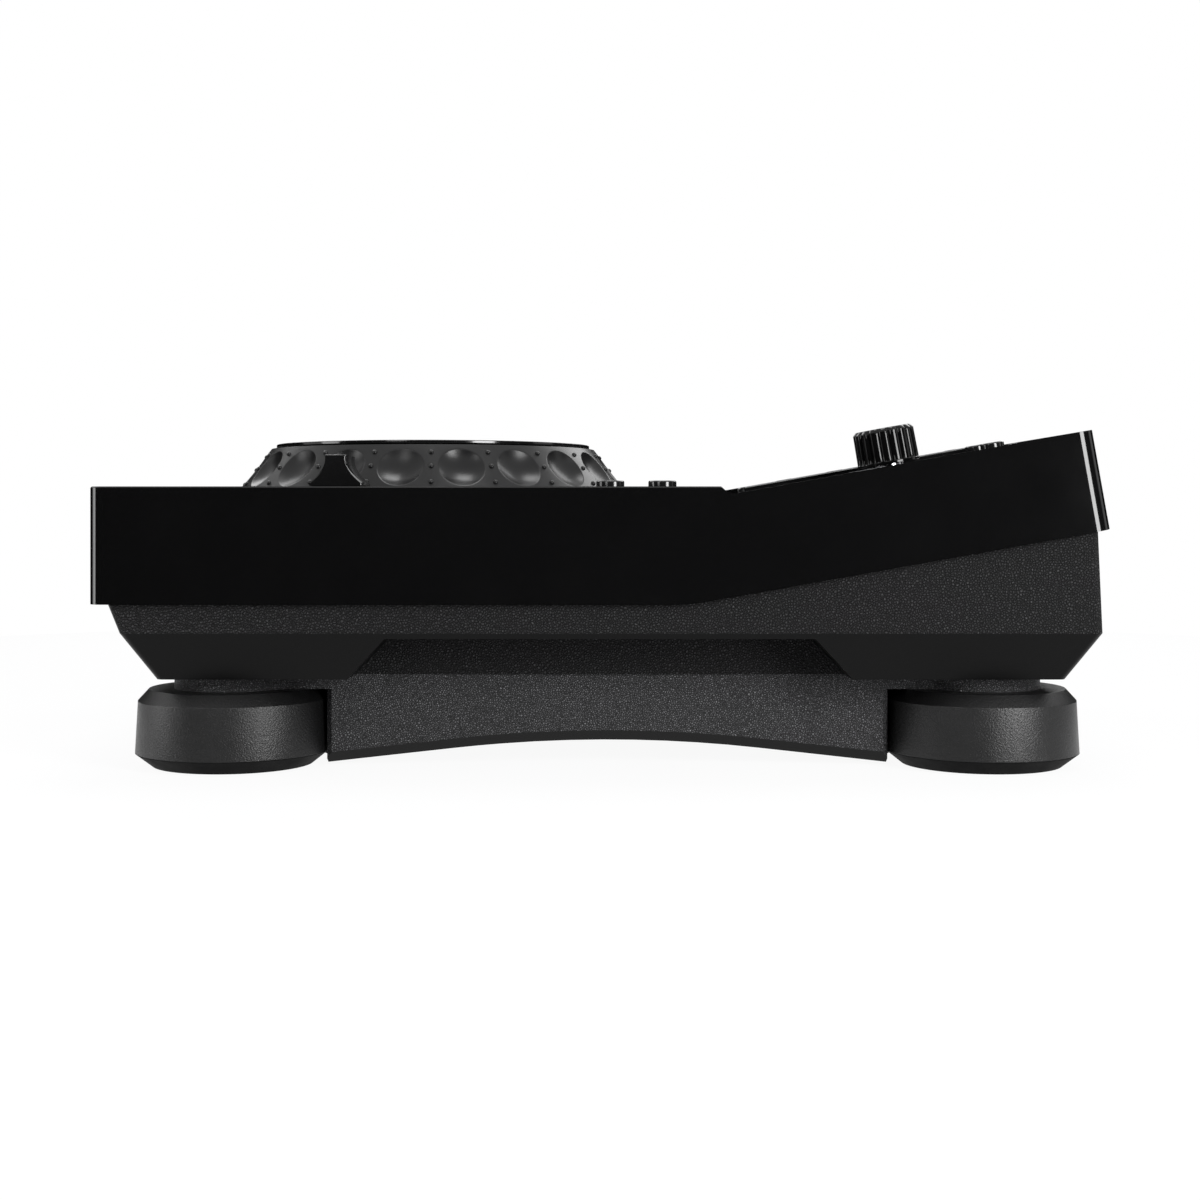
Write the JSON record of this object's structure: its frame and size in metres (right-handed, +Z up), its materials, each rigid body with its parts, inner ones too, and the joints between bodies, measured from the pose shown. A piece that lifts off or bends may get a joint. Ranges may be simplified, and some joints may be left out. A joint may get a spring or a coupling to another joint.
{
  "type": "desktop dj media player",
  "caption": "Low desktop dj media player with a dimpled jog wheel, tempo slider, rotary selector, push keys and a tilted touch screen, standing on round feet",
  "frame": {"origin": "on the table, under the middle of the body's width and depth", "axes": "+X the player's right, +Y its rear with the sockets, +Z up"},
  "size_m": [0.23, 0.308, 0.1086],
  "materials": {
    "cover_gloss": "high gloss black moulding",
    "tray_grain": "black, fine leather grain",
    "plinth_grain": "black, fine leather grain, smooth at its bevel",
    "foot_satin": "black satin with a fine grain",
    "pad_rubber": "dull black",
    "screw_steel": "blackened steel",
    "bezel_gloss": "gloss black frame",
    "screen_glass": "dark touch glass",
    "screen_dark": "unlit display",
    "sheet_steel": "zinc plated sheet",
    "board_green": "circuit board with solder mask",
    "sink_aluminium": "extruded, bead blasted",
    "switch_black": "switch cases",
    "ring_clear": "milky light guide",
    "connector_black": "moulded connector",
    "connector_steel": "nickel plated shell",
    "panel_black": "fine matt",
    "hook_black": "satin",
    "key_black": "gloss black cap",
    "jog_black": "satin black with dark dimples and small bright studs",
    "jog_plate": "dark anodised, spun finish, bright rim",
    "shaft_steel": "ground",
    "bearing_steel": "polished",
    "disc_dark": "etched disc",
    "knob_gloss": "gloss black, fluted",
    "slider_gloss": "gloss black with a white line"
  },
  "bodies": {
    "player": {"top_cover": "cover_gloss", "tray": "tray_grain", "plinth": "plinth_grain", "foot_front_left": "foot_satin", "foot_front_right": "foot_satin", "foot_rear_left": "foot_satin", "foot_rear_right": "foot_satin", "foot_pads": "pad_rubber", "case_screws": "screw_steel", "screen_bezel": "bezel_gloss", "screen_glass": "screen_glass", "screen_module": "screen_dark", "screen_bracket": "sheet_steel", "main_board": "board_green", "heat_sink": "sink_aluminium", "deck_key_boards": "board_green", "panel_key_boards": "board_green", "key_switches": "switch_black", "light_rings": "ring_clear", "stick_socket": "connector_steel", "jack_panel": "panel_black", "jack_board": "board_green", "rca_sockets": "connector_steel", "link_socket": "connector_steel", "usb_b_socket": "connector_steel", "power_inlet": "connector_black", "power_switch": "switch_black", "cord_hook": "hook_black", "jog_base": "connector_black", "jog_bearings": "bearing_steel", "jog_sensor": "switch_black", "tempo_fader": "sheet_steel", "selector_encoder": "bearing_steel"},
    "jog_wheel": {"jog_ring": "jog_black", "jog_shaft": "shaft_steel", "code_disc": "disc_dark"},
    "jog_top": {"jog_plate": "jog_plate"},
    "tempo": {"tempo_cap": "slider_gloss", "tempo_carriage": "switch_black"},
    "selector_push": {"selector_plunger": "switch_black"},
    "selector": {"selector_shaft": "shaft_steel", "selector_knob": "knob_gloss"},
    "power": {"power_button": "key_black"},
    "play_key": {"play_button": "key_black"},
    "cue_key": {"cue_button": "key_black"},
    "search_back_key": {"search_back_button": "key_black"},
    "search_forward_key": {"search_forward_button": "key_black"},
    "track_back_key": {"track_back_button": "key_black"},
    "track_forward_key": {"track_forward_button": "key_black"},
    "loop_in_key": {"loop_in_button": "key_black"},
    "loop_out_key": {"loop_out_button": "key_black"},
    "loop_exit_key": {"loop_exit_button": "key_black"},
    "sync_key": {"sync_button": "key_black"},
    "master_tempo_key": {"master_tempo_button": "key_black"},
    "tempo_range_key": {"tempo_range_button": "key_black"},
    "back_key": {"back_button": "key_black"},
    "tag_key": {"tag_button": "key_black"},
    "menu_key": {"menu_button": "key_black"},
    "browse_key": {"browse_button": "key_black"},
    "usb_stop_key": {"usb_stop_button": "key_black"}
  },
  "joints": [
    {"name": "jog_spin", "type": "hinge", "parent": "player", "child": "jog_wheel", "pos_m": [0, -0.0608, 0.09], "axis": [0, 0, 1], "continuous": true},
    {"name": "jog_press", "type": "slide", "parent": "jog_wheel", "child": "jog_top", "axis": [0, 0, 1], "range_m": [-0.0003, 0], "stiffness_N_per_m": 3000, "springref_m": 0.0006},
    {"name": "tempo_slide", "type": "slide", "parent": "player", "child": "tempo", "axis": [0, 1, 0], "range_m": [-0.03, 0.03]},
    {"name": "selector_press", "type": "slide", "parent": "player", "child": "selector_push", "axis": [0, -0.1759, 0.9844], "range_m": [-0.0005, 0], "stiffness_N_per_m": 1200, "springref_m": 0.0006},
    {"name": "selector_spin", "type": "hinge", "parent": "selector_push", "child": "selector", "pos_m": [0.081, 0.09237, 0.0951], "axis": [0, -0.1759, 0.9844], "continuous": true},
    {"name": "power_press", "type": "slide", "parent": "player", "child": "power", "axis": [0, 1, 0], "range_m": [-0.003, 0], "stiffness_N_per_m": 300, "springref_m": 0.002},
    {"name": "play_press", "type": "slide", "parent": "player", "child": "play_key", "axis": [0, 0, 1], "range_m": [-0.0005, 0], "stiffness_N_per_m": 900, "springref_m": 0.0005},
    {"name": "cue_press", "type": "slide", "parent": "player", "child": "cue_key", "axis": [0, 0, 1], "range_m": [-0.0005, 0], "stiffness_N_per_m": 900, "springref_m": 0.0005},
    {"name": "search_back_press", "type": "slide", "parent": "player", "child": "search_back_key", "axis": [0, 0, 1], "range_m": [-0.0005, 0], "stiffness_N_per_m": 500, "springref_m": 0.0005},
    {"name": "search_forward_press", "type": "slide", "parent": "player", "child": "search_forward_key", "axis": [0, 0, 1], "range_m": [-0.0005, 0], "stiffness_N_per_m": 500, "springref_m": 0.0005},
    {"name": "track_back_press", "type": "slide", "parent": "player", "child": "track_back_key", "axis": [0, 0, 1], "range_m": [-0.0005, 0], "stiffness_N_per_m": 500, "springref_m": 0.0005},
    {"name": "track_forward_press", "type": "slide", "parent": "player", "child": "track_forward_key", "axis": [0, 0, 1], "range_m": [-0.0005, 0], "stiffness_N_per_m": 500, "springref_m": 0.0005},
    {"name": "loop_in_press", "type": "slide", "parent": "player", "child": "loop_in_key", "axis": [0, 0, 1], "range_m": [-0.0005, 0], "stiffness_N_per_m": 500, "springref_m": 0.0005},
    {"name": "loop_out_press", "type": "slide", "parent": "player", "child": "loop_out_key", "axis": [0, 0, 1], "range_m": [-0.0005, 0], "stiffness_N_per_m": 500, "springref_m": 0.0005},
    {"name": "loop_exit_press", "type": "slide", "parent": "player", "child": "loop_exit_key", "axis": [0, 0, 1], "range_m": [-0.0005, 0], "stiffness_N_per_m": 500, "springref_m": 0.0005},
    {"name": "sync_press", "type": "slide", "parent": "player", "child": "sync_key", "axis": [0, 0, 1], "range_m": [-0.0005, 0], "stiffness_N_per_m": 500, "springref_m": 0.0005},
    {"name": "master_tempo_press", "type": "slide", "parent": "player", "child": "master_tempo_key", "axis": [0, 0, 1], "range_m": [-0.0005, 0], "stiffness_N_per_m": 500, "springref_m": 0.0005},
    {"name": "tempo_range_press", "type": "slide", "parent": "player", "child": "tempo_range_key", "axis": [0, 0, 1], "range_m": [-0.0005, 0], "stiffness_N_per_m": 500, "springref_m": 0.0005},
    {"name": "back_press", "type": "slide", "parent": "player", "child": "back_key", "axis": [0, -0.1759, 0.9844], "range_m": [-0.0005, 0], "stiffness_N_per_m": 500, "springref_m": 0.0005},
    {"name": "tag_press", "type": "slide", "parent": "player", "child": "tag_key", "axis": [0, -0.1759, 0.9844], "range_m": [-0.0005, 0], "stiffness_N_per_m": 500, "springref_m": 0.0005},
    {"name": "menu_press", "type": "slide", "parent": "player", "child": "menu_key", "axis": [0, -0.1759, 0.9844], "range_m": [-0.0005, 0], "stiffness_N_per_m": 500, "springref_m": 0.0005},
    {"name": "browse_press", "type": "slide", "parent": "player", "child": "browse_key", "axis": [0, -0.1759, 0.9844], "range_m": [-0.0005, 0], "stiffness_N_per_m": 500, "springref_m": 0.0005},
    {"name": "usb_stop_press", "type": "slide", "parent": "player", "child": "usb_stop_key", "axis": [0, -0.1759, 0.9844], "range_m": [-0.0005, 0], "stiffness_N_per_m": 500, "springref_m": 0.0005}
  ]
}
